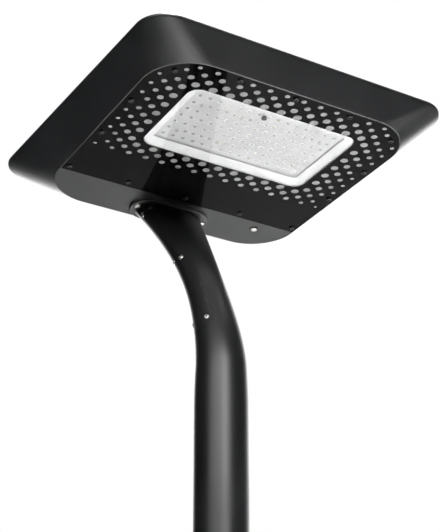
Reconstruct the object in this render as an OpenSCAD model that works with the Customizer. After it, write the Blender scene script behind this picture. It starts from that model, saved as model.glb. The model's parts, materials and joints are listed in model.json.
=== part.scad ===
// Solar path light: a flat square head with a solar module on top, carried level by
// a round pole whose upper end swings back as a neck and bolts under the head's rear.
// Millimetres, +Z up. The origin is the centre of the pole at the ground, the front
// of the head faces -Y, and the neck meets the head at the rear, towards +Y.
// Inside the head's modules z = 0 is the head's underside.

/* [Pole] */
// Height of the head's underside above the ground
head_height = 2440; // [1800:10:3000]
// Outside diameter of the pole
pole_d = 76.2; // [70:0.1:82]
// Wall of the straight pole
pole_wall = 3.2; // [2.5:0.1:5]

/* [Base] */
// Width of the square base flange
flange_w = 216; // [205:1:280]
// Thickness of the base flange
flange_t = 16; // [12:1:25]
// Corner radius of the base flange
flange_r = 22; // [15:1:30]
// Height of the collar round the pole
collar_h = 70; // [50:1:100]
// Wall of the collar at its top
collar_wall = 7; // [6:0.5:10]
// Spacing of the four anchor holes
anchor_spacing = 143.7; // [140:0.1:150]
// Diameter of an anchor hole
anchor_hole_d = 18; // [12:0.5:20]
// Diameter of a grub screw in the collar
grub_d = 8; // [6:1:10]

/* [Neck] */
// Depth below the head over which the neck swings back
neck_bend = 330; // [310:5:370]
// How far the neck's top lies behind the pole's axis
neck_reach = 171; // [168:1:172]
// How sharply the swing gathers towards the top
neck_power = 1.6; // [1.5:0.05:1.7]
// Wall of the neck
neck_wall = 6; // [5.5:0.5:7]
// Width of the neck across the head where it is slimmest
neck_w = 62.6; // [60:0.2:66]
// Width of the neck front to back where it is slimmest
neck_l = 57.2; // [56:0.2:60]
// How much the neck flares sideways at its foot
neck_flare = 26; // [22:0.5:27]

/* [Foot] */
// Length of the foot's plate, across the head
foot_l = 134; // [130:1:140]
// Width of the foot's plate, front to back
foot_w = 64; // [64:0.5:66]
// Thickness of the foot's plate
foot_t = 4; // [3:0.5:5]
// Centre of the foot's plate behind the pole's axis
foot_y = 170; // [169.5:0.5:171]
// Distance of a foot bolt from the plate's end
foot_bolt_in = 8.5; // [8:0.1:10]
// Diameter of a foot bolt
foot_bolt_d = 6; // [5:1:6]
// Diameter of the pocket for a foot bolt's head
foot_pocket_d = 12; // [11:0.2:13]
// Thickness of the foot's gasket
foot_gasket_t = 1; // [0.5:0.5:2]
// Diameter of the wire way through the foot
wire_way_d = 22; // [16:1:26]

/* [Neck cover] */
// Thickness of the neck's side cover
cover_t = 3; // [2.5:0.1:3.5]
// Thickness of its gasket
cover_gasket_t = 0.6; // [0.4:0.1:1]
// Gap between the cover's edge and the neck
cover_gap = 0.6; // [0.3:0.1:1]
// Width of the ledge that carries the cover
cover_ledge = 8; // [6:0.5:8.5]
// Depth of the cover's upper front corner below the head
cover_top = 7; // [6:1:12]
// Depth of the cover's lower end below the head
cover_bottom = 278; // [265:1:290]
// Half the cover's width where it is narrowest
cover_half_w = 18.5; // [17:0.5:19]
// Diameter of a cover screw
cover_screw_d = 5; // [4:0.5:5]
// Diameter of a cover screw's head
cover_screw_head_d = 9; // [8:0.5:9.5]

/* [Head] */
// Length of the rim, front to back
rim_l = 496; // [400:1:620]
// Width of the rim at the front
rim_w = 494; // [440:1:620]
// How much further out each side of the rim lies at the rear
rim_spread = 18; // [10:1:24]
// Corner radius of the rim
rim_r = 46; // [40:1:70]
// How far the underside is set in from the rim at the sides
base_in_side = 37; // [32:1:42]
// How far the underside is set in from the rim at the front
base_in_front = 27; // [22:1:32]
// How far the underside is set in from the rim at the rear
base_in_rear = 42; // [38:1:44]
// Corner radius of the underside
base_r = 75; // [70:1:80]
// Height of the head
head_h = 42.4; // [41:0.1:50]
// Height of the upright lip round the rim
lip_h = 4; // [3:0.5:6]
// Wall of the head
head_wall = 3; // [2.5:0.5:4]
// Thickness of the head's floor
floor_t = 8; // [7:0.5:9]
// Rounding of the head's outer edges
edge_r = 1.2; // [0.6:0.1:1.8]
// Thickness of a rib beside the foot
rib_t = 4; // [3:0.5:6]

/* [Light panel] */
// Room between the foot and the underside's rear edge
foot_to_edge = 4; // [3:0.5:8]
// Room between the foot and the panel
foot_to_panel = 11; // [10:0.5:16]
// Thickness of the panel
panel_t = 4; // [3.5:0.5:5]
// Width of the housing's edge left round the panel
panel_edge = 2.2; // [1.5:0.1:3]
// Thickness of the panel's gasket
panel_gasket_t = 1; // [0.5:0.5:1.5]
// Width of the ledge that carries the panel
panel_ledge = 22; // [20:1:24]
// Gap between the panel and the housing
panel_gap = 0.4; // [0.2:0.1:0.8]
// Distance of the screws from the panel's edge
screw_inset = 11; // [10:0.5:12]
// Diameter of a panel screw
screw_d = 5; // [4:0.5:5]
// Diameter of a panel screw's head
screw_head_d = 9; // [8:0.5:9.5]
// Distance between the three screws along the front
front_screw_gap = 90.7; // [80:0.1:100]
// Distance of a corner screw from the underside's rounded corner
corner_screw_in = 14; // [12:0.5:16]

/* [Light] */
// Width of the window
window_w = 279; // [270:1:284]
// Length of the window, front to back
window_l = 166; // [160:1:170]
// Centre of the window behind the underside's front edge
window_in = 138.8; // [130:0.2:142]
// Corner radius of the window
window_r = 20; // [15:1:25]
// Width of the window's hidden flange
window_flange = 5; // [4:0.5:6]
// How far the white frame slopes inwards
frame_slope = 12.5; // [11:0.5:14]
// Number of lenses in a plain row
lens_cols = 15; // [13:2:15]
// Distance of the outer lenses' centres from the window's left and right
lens_side = 26.1; // [24:0.1:28]
// Distance of the outer lenses' centres from the window's front and rear
lens_front = 27.5; // [26:0.1:30]
// Diameter of a lens
lens_d = 12; // [10:0.5:13]
// Height of a lens
lens_h = 2.6; // [2:0.1:3]
// Diameter of the daylight sensor's bezel
sensor_d = 8.4; // [7:0.1:9]

/* [Inside] */
// Thickness of the chassis plate
chassis_t = 3; // [2.5:0.5:4]
// Room between a battery pack and the chassis screws
battery_side = 30; // [14:1:50]
// Length of one battery pack, front to back
battery_l = 84; // [70:1:88]
// Room left above the parts inside, up to the solar module's seat
inside_room = 3.9; // [3:0.1:6]
// Width of the charge controller's board
controller_w = 116; // [104:1:140]
// Length of the charge controller's board
controller_l = 76; // [70:1:90]
// Thickness of the solar module
module_t = 4; // [3:0.5:5]
// Ledge that carries the solar module
module_ledge = 12; // [9:0.5:14]

/* [Hidden] */

$fn = 96;
fit = 0.3;
cut = 1;
pole_r = pole_d / 2;

// Heights in the head, from its underside up
ledge_z = panel_t + panel_gasket_t;
lip_z = head_h - lip_h;
seat_z = head_h - module_t - 1.4;
seal_t = 1;
module_z = seat_z + seal_t;
frame_z = panel_t;
bevel_z = frame_z + 5;
plate_z = bevel_z + 0.8;
plate_t = 2;
board_z = plate_z + plate_t + 0.7;
board_t = 1.6;
chassis_z = board_z + board_t;
pack_z = chassis_z + chassis_t;
inside_top = seat_z - inside_room;
boss_top = chassis_z - 1.5;
screw_l = boss_top - 1.6;

// The foot sets the head's place: its rear edge first, and the rest from there
base_w = rim_w - 2 * base_in_side;
base_rear = foot_y + foot_w / 2 + foot_to_edge;
rim_rear = base_rear + base_in_rear;
rim_front = rim_rear - rim_l;
base_front = rim_front + base_in_front;
panel_rear = foot_y - foot_w / 2 - foot_to_panel;
window_y = base_front + window_in;

// Corner points, counter-clockwise from the front left
BASE = [
    [-base_w / 2, base_front], [base_w / 2, base_front],
    [base_w / 2, base_rear], [-base_w / 2, base_rear]
];
RIM = [
    [-rim_w / 2, rim_front], [rim_w / 2, rim_front],
    [rim_w / 2 + rim_spread, rim_rear], [-rim_w / 2 - rim_spread, rim_rear]
];
PANEL = [
    [-base_w / 2, base_front], [base_w / 2, base_front],
    [base_w / 2, panel_rear + panel_edge], [-base_w / 2, panel_rear + panel_edge]
];
BASE_R = [base_r, base_r, base_r, base_r];
RIM_R = [rim_r, rim_r, rim_r, rim_r];
PANEL_R = [base_r, base_r, panel_edge + 1.2, panel_edge + 1.2];

// Outlines

function unit(v) = v / norm(v);
function smooth(t) = let (c = min(1, max(0, t))) c * c * (3 - 2 * c);
function box(w, l) = [[-w / 2, -l / 2], [w / 2, -l / 2], [w / 2, l / 2], [-w / 2, l / 2]];
function all_r(r) = [r, r, r, r];
function shift(points, dx, dy) = [for (p = points) [p.x + dx, p.y + dy]];

// A convex outline with rounded corners, set in by a distance all round
function rounded(corners, radii, in = 0, steps = 12) = [
    for (i = [0:3])
        let (
            before = unit(corners[i] - corners[(i + 3) % 4]),
            after = unit(corners[(i + 1) % 4] - corners[i]),
            start = atan2(before.y, before.x) - 90,
            turn = acos(before * after),
            centre = corners[i] + unit(after - before) * radii[i] / cos(turn / 2)
        )
        for (k = [0:steps])
            let (angle = start + turn * k / steps)
            centre + (radii[i] - in) * [cos(angle), sin(angle)]
];

function raised(points, z) = [for (p = points) [p.x, p.y, z]];
function mix(a, b, t) = a + (b - a) * t;

module slab(points, z0, z1) {
    translate([0, 0, z0])
        linear_extrude(z1 - z0)
            polygon(points);
}

// A closed skin over rings that have the same number of points, lowest ring first
module skin(rings) {
    n = len(rings[0]);
    m = len(rings);
    sides = [
        for (k = [0:m - 2], i = [0:n - 1])
            let (a = k * n + i, b = k * n + (i + 1) % n)
            each [[a, a + n, b + n], [a, b + n, b]]
    ];
    polyhedron(
        points = [for (ring = rings) each ring],
        faces = concat(
            [[for (i = [0:n - 1]) i]],
            sides,
            [[for (i = [n - 1:-1:0]) (m - 1) * n + i]]
        )
    );
}

module at_head() {
    translate([0, 0, head_height])
        children();
}

// A tapped hole and the plain shank that stands for a screw's thread in it
function tapped(d) = 0.84 * d;
function core(d) = 0.8 * d;

// A screw pointing up, its head below z = 0
module screw(d, head_d, head_h, l, recess_d) {
    difference() {
        union() {
            cylinder(d = core(d), h = l);
            translate([0, 0, -head_h])
                cylinder(d1 = head_d * 0.72, d2 = head_d, h = head_h * 0.45);
            translate([0, 0, -head_h * 0.55])
                cylinder(d = head_d, h = head_h * 0.55);
        }
        translate([0, 0, -head_h - cut])
            cylinder(d = recess_d, h = head_h * 0.6 + cut, $fn = 6);
    }
}

// Base

collar_r = pole_r + fit / 2;

module base_flange() {
    color("#2b2e31")
        difference() {
            union() {
                slab(rounded(box(flange_w, flange_w), all_r(flange_r)), 0, flange_t);
                translate([0, 0, flange_t])
                    cylinder(r1 = collar_r + collar_wall + 9, r2 = collar_r + collar_wall, h = 22);
                cylinder(r = collar_r + collar_wall, h = collar_h);
            }
            translate([0, 0, pole_seat])
                cylinder(r = collar_r, h = collar_h);
            translate([0, 0, -cut])
                cylinder(r = pole_r - pole_wall - 4, h = collar_h);
            for (x = [-1, 1], y = [-1, 1])
                translate([x * anchor_spacing / 2, y * anchor_spacing / 2, -cut])
                    cylinder(d = anchor_hole_d, h = flange_t + 2 * cut);
            at_grubs(collar_r - cut)
                cylinder(d = tapped(grub_d), h = collar_wall + 3 * cut);
        }
}

pole_seat = 4;
grub_z = 54;

// Three places round the collar, pointing outwards
module at_grubs(r) {
    for (a = [90, 210, 330])
        rotate([0, 0, a])
            translate([r, 0, grub_z])
                rotate([0, 90, 0])
                    children();
}

module base_grub_screws() {
    color("#8d9093")
        at_grubs(pole_r)
            difference() {
                cylinder(d = core(grub_d), h = collar_wall + fit / 2 - 0.5);
                translate([0, 0, 3])
                    cylinder(d = grub_d / 2, h = collar_wall, $fn = 6);
            }
}

// Neck: every horizontal section is an ellipse, d is its depth below the head

neck_len = neck_bend + 90;
neck_top = 8;
neck_end = foot_gasket_t + foot_t / 2;
neck_steps = 22;
cover_steps = 16;
neck_proud = 0.12;
foot_z = -foot_gasket_t - foot_t;
foot_plate = shift(rounded(box(foot_l, foot_w), all_r(foot_w / 2 - 0.1), 0, 16), 0, foot_y);

function swing(d) = max(0, neck_bend - max(d, neck_top)) / (neck_bend - neck_top);
function neck_y(d) = neck_reach * pow(swing(d), neck_power);
function neck_lean(d) =
    neck_reach * neck_power / (neck_bend - neck_top) * pow(swing(d), neck_power - 1);
function neck_widen(d) = (neck_a(d - 1) - neck_a(d + 1)) / 2;
function neck_a(d) =
    mix(pole_r + neck_proud, neck_w / 2, smooth((neck_len - 30 - d) / 190))
    + neck_flare * pow(max(0, (200 - d) / 192), 2);
function neck_b(d) =
    mix(pole_r + neck_proud, neck_l / 2, smooth((neck_len - 20 - d) / 230))
    + 2 * smooth((170 - d) / 160);

// A section of the neck, set in from its outside square to the leaning wall
function neck_ring(d, in, widest, sides) =
    let (
        a = min(neck_a(d), widest + in) - in,
        b = neck_b(d) - in * sqrt(1 + pow(neck_lean(d), 2))
    )
    [for (i = [0:sides - 1])
        let (t = 360 * i / sides)
        [a * cos(t), neck_y(d) + b * sin(t), -d]];

module neck_skin(in, depths, widest = 100, sides = 48) {
    skin([for (d = depths) neck_ring(d, in, widest, sides)]);
}

function depths(from, to, n) = [for (k = [0:n]) mix(from, to, k / n)];
cover_low = mix(neck_top, neck_len, cover_steps / neck_steps);
WHOLE_NECK = concat(depths(neck_len, neck_top, neck_steps), [neck_end]);
BESIDE_COVER = concat(depths(cover_low, neck_top, cover_steps), [neck_end]);
HOLLOW = depths(neck_len + cut, neck_top + 4, 12);

// Side view of the cover, as offsets from the neck's centre line, set in all round
function cover_front(d) =
    d > 90 ? cover_half_w + 7.5 * (d - 90) / 188 : cover_half_w + 6 * pow((90 - d) / 78, 2);
function cover_back(d) = cover_half_w + 7.5 * (d - 90) / 188 - 7 * max(0, (134 - d) / 112);
cover_round = 17;
function cover_outline(in) =
    let (
        low = cover_bottom - cover_round,
        top = cover_top + in,
        back_top = cover_top + 15 + in,
        half = cover_front(low) - in
    )
    concat(
        [[neck_y(cover_top) - 16, -top]],
        [for (k = [0:14])
            let (d = mix(top, low, k / 14))
            [neck_y(d) - cover_front(d) + in, -d]],
        [for (a = [15:15:165])
            [neck_y(low) - half * cos(a), -low - (cover_round - in) * sin(a)]],
        [for (k = [0:12])
            let (d = mix(low, back_top, k / 12))
            [neck_y(d) + cover_back(d) - in, -d]]
    );

module cover_prism(in) {
    translate([-pole_r - 40, 0, 0])
        rotate([90, 0, 90])
            linear_extrude(pole_r + 32)
                polygon(cover_outline(in));
}

// Cover screws, as depth and offset from the centre line
cover_sites = [
    [cover_top + 6, -cover_half_w - 0.3], [cover_top + 17, 1],
    [134, -cover_half_w + 8], [134, cover_half_w - 8],
    [cover_bottom - 20, -cover_half_w], [cover_bottom - 20, cover_half_w]
];
function site_x(s) = -neck_a(s[0]) * sqrt(1 - pow(s[1] / neck_b(s[0]), 2));
function site_normal(s) =
    let (a = neck_a(s[0]), b = neck_b(s[0]), x = site_x(s))
    unit([
        x / (a * a), s[1] / (b * b),
        -s[1] * neck_lean(s[0]) / (b * b) - x * x * neck_widen(s[0]) / pow(a, 3)
    ]);
screw_sink = 1.6;

// Children point inwards along each cover screw, z = 0 where its head seats
module at_cover_screws() {
    for (s = cover_sites)
        let (n = site_normal(s))
        translate([site_x(s), neck_y(s[0]) + s[1], -s[0]] - n * screw_sink)
            rotate([0, 180 - acos(n.z), atan2(n.y, n.x) + 180])
                children();
}

module at_foot_bolts() {
    for (x = [-1, 1])
        translate([x * (foot_l / 2 - foot_bolt_in), foot_y - 4, 0])
            children();
}

module pole() {
    at_z = head_height - neck_len;
    color("#33363a")
        difference() {
            union() {
                translate([0, 0, pole_seat])
                    cylinder(r = pole_r, h = at_z + cut - pole_seat);
                at_head() {
                    neck_skin(0, WHOLE_NECK);
                    slab(foot_plate, foot_z, -foot_gasket_t);
                }
            }
            translate([0, 0, pole_seat - cut])
                cylinder(r = pole_r - pole_wall, h = at_z - pole_seat + cut);
            at_head() {
                neck_skin(neck_wall, HOLLOW, 40, 32);
                translate([0, foot_y, -neck_top - 12])
                    cylinder(d = wire_way_d, h = 30);
                difference() {
                    cover_prism(-cover_gap);
                    neck_skin(cover_t + cover_gasket_t, BESIDE_COVER);
                }
                cover_prism(cover_ledge);
                at_cover_screws()
                    cylinder(d = tapped(cover_screw_d), h = 14);
                at_foot_bolts() {
                    translate([0, 0, -60])
                        cylinder(d = foot_pocket_d, h = 60 + foot_z + 1);
                    translate([0, 0, foot_z - cut])
                        cylinder(d = foot_bolt_d + 2 * fit, h = foot_t + 2 * cut);
                }
            }
        }
}

module neck_cover() {
    color("#33363a")
        at_head()
            difference() {
                intersection() {
                    neck_skin(0, BESIDE_COVER);
                    cover_prism(0);
                }
                neck_skin(cover_t, BESIDE_COVER);
                at_cover_screws() {
                    cylinder(d = cover_screw_d + fit, h = 14);
                    translate([0, 0, -6])
                        cylinder(d = cover_screw_head_d + 1.6, h = 6);
                }
                at_foot_bolts()
                    translate([0, 0, -60])
                        cylinder(d = foot_pocket_d, h = 60 + foot_z + 1);
            }
}

module neck_cover_gasket() {
    color("#1b1c1d")
        at_head()
            difference() {
                intersection() {
                    neck_skin(cover_t, BESIDE_COVER);
                    cover_prism(0);
                }
                neck_skin(cover_t + cover_gasket_t, BESIDE_COVER);
                cover_prism(cover_ledge);
                at_cover_screws()
                    cylinder(d = cover_screw_d + 2 * fit, h = 14);
            }
}

module neck_cover_screws() {
    color("#c6c9cc")
        at_head()
            at_cover_screws()
                screw(cover_screw_d, cover_screw_head_d, 2.6, 6, 3.4);
}

module foot_gasket() {
    color("#1b1c1d")
        at_head()
            difference() {
                slab(foot_plate, -foot_gasket_t, 0);
                translate([0, foot_y, -2 * foot_gasket_t])
                    cylinder(d = wire_way_d, h = 3 * foot_gasket_t);
                at_foot_bolts()
                    translate([0, 0, -2 * foot_gasket_t])
                        cylinder(d = foot_bolt_d + 2 * fit, h = 3 * foot_gasket_t);
            }
}

module foot_bolts() {
    color("#c6c9cc")
        at_head()
            at_foot_bolts()
                translate([0, 0, foot_z + 1])
                    screw(foot_bolt_d, foot_pocket_d - 2, 3.6, 20, 4);
}

// Head

panel_in = panel_edge + panel_gap;
vent_at = [base_w / 2 - 62, base_rear - 58];
boss_d = 12;

// Panel screws: five at the rear, three at the front, one in each front corner, two a side
rear_screw_y = panel_rear - screw_inset - 2;
corner_screw_turn = 42.3;
corner_screw = [
    base_w / 2 - base_r + (base_r - corner_screw_in) * cos(corner_screw_turn),
    base_front + base_r - (base_r - corner_screw_in) * sin(corner_screw_turn)
];
side_screws = [for (t = [0.314, 0.631]) mix(corner_screw.y, rear_screw_y, t)];
panel_sites = concat(
    [for (k = [-2:2]) [k * (base_w / 2 - 10) / 2, rear_screw_y]],
    [for (k = [-1:1]) [k * front_screw_gap, base_front + screw_inset]],
    [for (s = [-1, 1]) [s * corner_screw.x, corner_screw.y]],
    [for (s = [-1, 1], y = side_screws) [s * (base_w / 2 - screw_inset), y]]
);

// Chassis screws along both sides, halfway between the panel's own screws
chassis_x = base_w / 2 - 14;
chassis_rows = [
    (corner_screw.y + side_screws[0]) / 2,
    (side_screws[0] + side_screws[1]) / 2,
    (side_screws[1] + rear_screw_y) / 2
];
chassis_sites = [for (s = [-1, 1], y = chassis_rows) [s * chassis_x, y]];

module at_sites(sites, z) {
    for (s = sites)
        translate([s.x, s.y, z])
            children();
}

// Half the head's outline at a height, set in by the wall
function side_at(z) = min(1, z / lip_z);
function wall_ring(z, in) =
    let (t = side_at(z), low = rounded(BASE, BASE_R, in), high = rounded(RIM, RIM_R, in))
    [for (i = [0:len(low) - 1])
        let (p = mix(low[i], high[i], t))
        [p.x, p.y, z]];

// The outside from the underside up, with the edge, the lip's foot and the top rounded
OUTSIDE = [
    [0, edge_r], [0.15 * edge_r, 0.45 * edge_r], [0.6 * edge_r, 0],
    [lip_z - edge_r, 0], [lip_z - 0.1 * edge_r, 0.2 * edge_r], [lip_z + edge_r, 0],
    [head_h - edge_r, 0], [head_h - 0.3 * edge_r, 0.3 * edge_r], [head_h, edge_r]
];

// Ribs on the strip's floor, beside the foot, that run up the rear wall
rib_top = 20;
module ribs() {
    function wall_y(z) = base_rear + base_in_rear * z / lip_z - head_wall / 2;
    low = floor_t - cut;
    for (x = [-foot_l / 2 - 8, -wire_way_d - 10, wire_way_d + 10, foot_l / 2 + 8])
        translate([x - rib_t / 2, 0, 0])
            rotate([90, 0, 90])
                linear_extrude(rib_t)
                    polygon([
                        [panel_rear + 5, low], [wall_y(low), low],
                        [wall_y(rib_top), rib_top], [wall_y(rib_top) - 22, rib_top],
                        [panel_rear + 5, rib_top - 6]
                    ]);
}

module head_housing() {
    color("#33363a")
        at_head() {
            ribs();
            difference() {
                skin([for (r = OUTSIDE) wall_ring(r[0], r[1])]);
                slab(rounded(RIM, RIM_R, head_wall + 1), seat_z, head_h + cut);
                slab(rounded(RIM, RIM_R, head_wall + 1 + module_ledge), seat_z - 5, seat_z + cut);
                skin([wall_ring(floor_t, head_wall), wall_ring(seat_z - 4, head_wall)]);
                slab(rounded(PANEL, PANEL_R, panel_edge), -cut, ledge_z);
                slab(rounded(PANEL, [base_r, base_r, 30, 30], panel_ledge), 0, floor_t + cut);
                at_sites(panel_sites, 0)
                    cylinder(d = tapped(screw_d), h = floor_t + 2 * cut);
                translate([0, foot_y, -cut])
                    cylinder(d = wire_way_d, h = floor_t + 2 * cut);
                at_foot_bolts()
                    translate([0, 0, -cut])
                        cylinder(d = tapped(foot_bolt_d), h = floor_t + 2 * cut);
                translate([vent_at.x, vent_at.y, -cut])
                    cylinder(d = vent_d, h = floor_t + 2 * cut);
            }
            bosses(panel_sites, boss_d, tapped(screw_d), boss_top);
            bosses(chassis_sites, 11, tapped(4), chassis_z);
            difference() {
                at_foot_bolts()
                    translate([0, 0, floor_t])
                        cylinder(d = 18, h = 14);
                at_foot_bolts()
                    cylinder(d = tapped(foot_bolt_d), h = 30);
            }
        }
}

module bosses(sites, d, hole_d, top) {
    difference() {
        at_sites(sites, floor_t)
            cylinder(d = d, h = top - floor_t);
        at_sites(sites, floor_t - cut)
            cylinder(d = hole_d, h = top);
    }
}

vent_d = 7;

module vent_plug() {
    color("#1b1c1d")
        at_head()
            translate([vent_at.x, vent_at.y, 0]) {
                cylinder(d = vent_d - 0.1, h = floor_t + 1.5);
                translate([0, 0, -1.6])
                    cylinder(d = 13, h = 1.6);
                translate([0, 0, -3.2])
                    cylinder(d1 = 7.5, d2 = 9, h = 1.6);
            }
}

// Panel and window

WINDOW = shift(box(window_w, window_l), 0, window_y);
WINDOW_R = all_r(window_r);
pane_front_t = 2.2;

module light_panel() {
    color("#121314")
        at_head()
            difference() {
                slab(rounded(PANEL, PANEL_R, panel_in), 0, panel_t);
                slab(rounded(WINDOW, WINDOW_R), -cut, panel_t + cut);
                slab(rounded(WINDOW, WINDOW_R, -window_flange - fit), pane_front_t, panel_t + cut);
                at_sites(panel_sites, -cut)
                    cylinder(d = screw_d + 0.5, h = panel_t + 2 * cut);
            }
}

module light_panel_gasket() {
    color("#1b1c1d")
        at_head()
            difference() {
                slab(rounded(PANEL, PANEL_R, panel_in), panel_t, ledge_z);
                slab(rounded(PANEL, [base_r, base_r, 30, 30], panel_ledge - 1), 0, ledge_z + cut);
                at_sites(panel_sites, 0)
                    cylinder(d = screw_d + 0.5, h = ledge_z + cut);
            }
}

module light_panel_screws() {
    color("#1b1c1d")
        at_head()
            at_sites(panel_sites, 0)
                screw(screw_d, screw_head_d, 2.6, screw_l, 3.4);
}

module window_pane() {
    color("#dfe6ea", 0.4)
        at_head() {
            slab(rounded(WINDOW, WINDOW_R, 0.3), 0, pane_front_t + 0.4);
            slab(rounded(WINDOW, WINDOW_R, -window_flange), pane_front_t + 0.4, panel_t);
        }
}

module window_seal() {
    color("#1b1c1d")
        at_head()
            difference() {
                slab(rounded(WINDOW, WINDOW_R, -window_flange), pane_front_t, pane_front_t + 0.4);
                slab(rounded(WINDOW, WINDOW_R, -0.1), pane_front_t - cut, pane_front_t + cut);
            }
}

// White frame between the window and the lenses
frame_out = 9;

module light_frame() {
    color("#f2f2f0")
        at_head()
            difference() {
                slab(rounded(WINDOW, WINDOW_R, -frame_out), frame_z, board_z);
                skin([
                    raised(rounded(WINDOW, WINDOW_R, 1), frame_z - 0.4),
                    raised(rounded(WINDOW, WINDOW_R, frame_slope), bevel_z)
                ]);
                slab(rounded(WINDOW, WINDOW_R, frame_slope), bevel_z - 0.01, plate_z + cut);
                slab(rounded(WINDOW, WINDOW_R, frame_slope - 5), plate_z, board_z + cut);
            }
}

// Seven rows of lenses; four screws stand in the second row and in the sixth, and the
// lenses there are closer, with four between each pair of screws
screw_row = 2;
lens_pitch_x = (window_w - 2 * lens_side) / (lens_cols - 1);
lens_pitch_y = (window_l - 2 * lens_front) / 6;
close_pitch = (window_w - 2 * lens_side) / 17;
lens_sites = [
    for (j = [-3:3])
        let (
            close = abs(j) == screw_row,
            n = close ? 18 : lens_cols,
            pitch = close ? close_pitch : lens_pitch_x
        )
        for (i = [0:n - 1])
            let (k = i - (n - 1) / 2)
            if (!close || (abs(k) != 2.5 && abs(k) != 7.5))
                [k * pitch, window_y + j * lens_pitch_y]
];
lens_screw_sites = [
    for (k = [-1.5:1.5], j = [-1, 1])
        [k * 5 * close_pitch, window_y + j * screw_row * lens_pitch_y]
];

// One lens, a low dome that hangs from z = 0
module lens() {
    r = (pow(lens_d / 2, 2) + pow(lens_h, 2)) / (2 * lens_h);
    bow = asin(lens_d / 2 / r);
    rotate_extrude()
        polygon(concat(
            [[0, 0]],
            [for (k = [5:-1:0])
                let (a = bow * k / 5)
                [r * sin(a), r - lens_h - r * cos(a)]]
        ));
}

// The sensor's bezel stands between two lenses of the front row
sensor_at = [-lens_pitch_x / 2, window_y - 3 * lens_pitch_y];
sensor_h = lens_h + 0.4;

module sensor_bezel() {
    color("#26282a")
        at_head()
            translate([sensor_at.x, sensor_at.y, plate_z - sensor_h])
                difference() {
                    cylinder(d = sensor_d, h = sensor_h);
                    translate([0, 0, -cut])
                        cylinder(d = 0.6 * sensor_d, h = sensor_h + 2 * cut);
                }
}

module lens_plate() {
    color("#e9edf0", 0.7)
        at_head()
            difference() {
                union() {
                    slab(rounded(WINDOW, WINDOW_R, frame_slope - 4.7), plate_z, plate_z + plate_t);
                    at_sites(lens_sites, plate_z)
                        lens();
                    at_sites(lens_screw_sites, plate_z + plate_t)
                        cylinder(d = 7, h = board_z - plate_z - plate_t);
                }
                at_sites(lens_screw_sites, plate_z - 5)
                    cylinder(d = 3.3, h = 12);
                at_sites(lens_screw_sites, plate_z - 5)
                    cylinder(d = 7.4, h = 5);
                translate([sensor_at.x, sensor_at.y, plate_z - 5])
                    cylinder(d = sensor_d + fit, h = 5);
            }
}

module lens_screws() {
    color("#3a3c3e")
        at_head()
            at_sites(lens_screw_sites, plate_z)
                screw(3, 6, 1.8, 7, 2);
}

module led_board() {
    color("#f4f4f2")
        at_head()
            difference() {
                union() {
                    slab(rounded(WINDOW, WINDOW_R, 2 - frame_out), board_z, chassis_z);
                    at_sites(lens_sites, board_z - 0.6)
                        translate([-1.5, -1.5, 0])
                            cube([3, 3, 0.6]);
                }
                at_sites(lens_screw_sites, board_z - cut)
                    cylinder(d = 3.3, h = board_t + 2 * cut);
            }
}

// Chassis plate and what it carries

chassis_front = base_front + 26;
chassis_rear = panel_rear - 16;
pack_y = chassis_rear - 14 - battery_l / 2;
pack_gap = 12;
battery_w = chassis_x - battery_side - pack_gap / 2;
pack_x = (battery_w + pack_gap) / 2;
battery_t = inside_top - pack_z;
controller_y = chassis_front + 22 + controller_l / 2;
controller_screws_at = [
    for (x = [-1, 1], y = [-1, 1])
        [x * (controller_w / 2 - 6), controller_y + y * (controller_l / 2 - 6)]
];
strap_w = 18;
strap_sites = [
    for (x = [-1, 1], y = [-1, 1])
        [x * pack_x, pack_y + y * (battery_l / 2 + 6)]
];

module chassis_plate() {
    l = chassis_rear - chassis_front;
    color("#b9bcbe")
        at_head()
            difference() {
                slab(
                    shift(
                        rounded(box(2 * chassis_x + 12, l), [52, 52, 8, 8]),
                        0, (chassis_front + chassis_rear) / 2
                    ),
                    chassis_z, pack_z
                );
                at_sites(lens_screw_sites, chassis_z - cut)
                    cylinder(d = tapped(3), h = chassis_t + 2 * cut);
                at_sites(chassis_sites, chassis_z - cut)
                    cylinder(d = 4.4, h = chassis_t + 2 * cut);
                at_sites(controller_screws_at, chassis_z - cut)
                    cylinder(d = tapped(3), h = chassis_t + 2 * cut);
                at_sites(strap_sites, chassis_z - cut)
                    cylinder(d = tapped(3), h = chassis_t + 2 * cut);
            }
}

// A screw pointing down, its head above z = 0
module screw_down(d, head_d, head_h, l, recess_d) {
    mirror([0, 0, 1])
        screw(d, head_d, head_h, l, recess_d);
}

module chassis_screws() {
    color("#8d9093")
        at_head()
            at_sites(chassis_sites, pack_z)
                screw_down(4, 7, 2.2, 9, 2.8);
}

module battery_packs() {
    color("#2f6fb0")
        at_head()
            for (x = [-1, 1])
                slab(
                    shift(
                        rounded(box(battery_w, battery_l), all_r(6), 0, 6),
                        x * pack_x, pack_y
                    ),
                    pack_z, pack_z + battery_t
                );
}

strap_t = 1.2;

module battery_straps() {
    l = battery_l + 2 * fit;
    top = pack_z + battery_t + fit;
    color("#a9acae")
        at_head()
            for (x = [-1, 1])
                translate([x * pack_x - strap_w / 2, pack_y, 0])
                    difference() {
                        union() {
                            translate([0, -l / 2 - strap_t, pack_z])
                                cube([strap_w, l + 2 * strap_t, top + strap_t - pack_z]);
                            translate([0, -l / 2 - 12, pack_z])
                                cube([strap_w, l + 24, strap_t]);
                        }
                        translate([-cut, -l / 2, pack_z - cut])
                            cube([strap_w + 2 * cut, l, top - pack_z + cut]);
                        for (s = [-1, 1])
                            translate([strap_w / 2, s * (battery_l / 2 + 6), pack_z - cut])
                                cylinder(d = 3.4, h = strap_t + 2 * cut);
                    }
}

module battery_strap_screws() {
    color("#8d9093")
        at_head()
            at_sites(strap_sites, pack_z + strap_t)
                screw_down(3, 5.4, 1.6, strap_t + chassis_t, 2);
}

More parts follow.
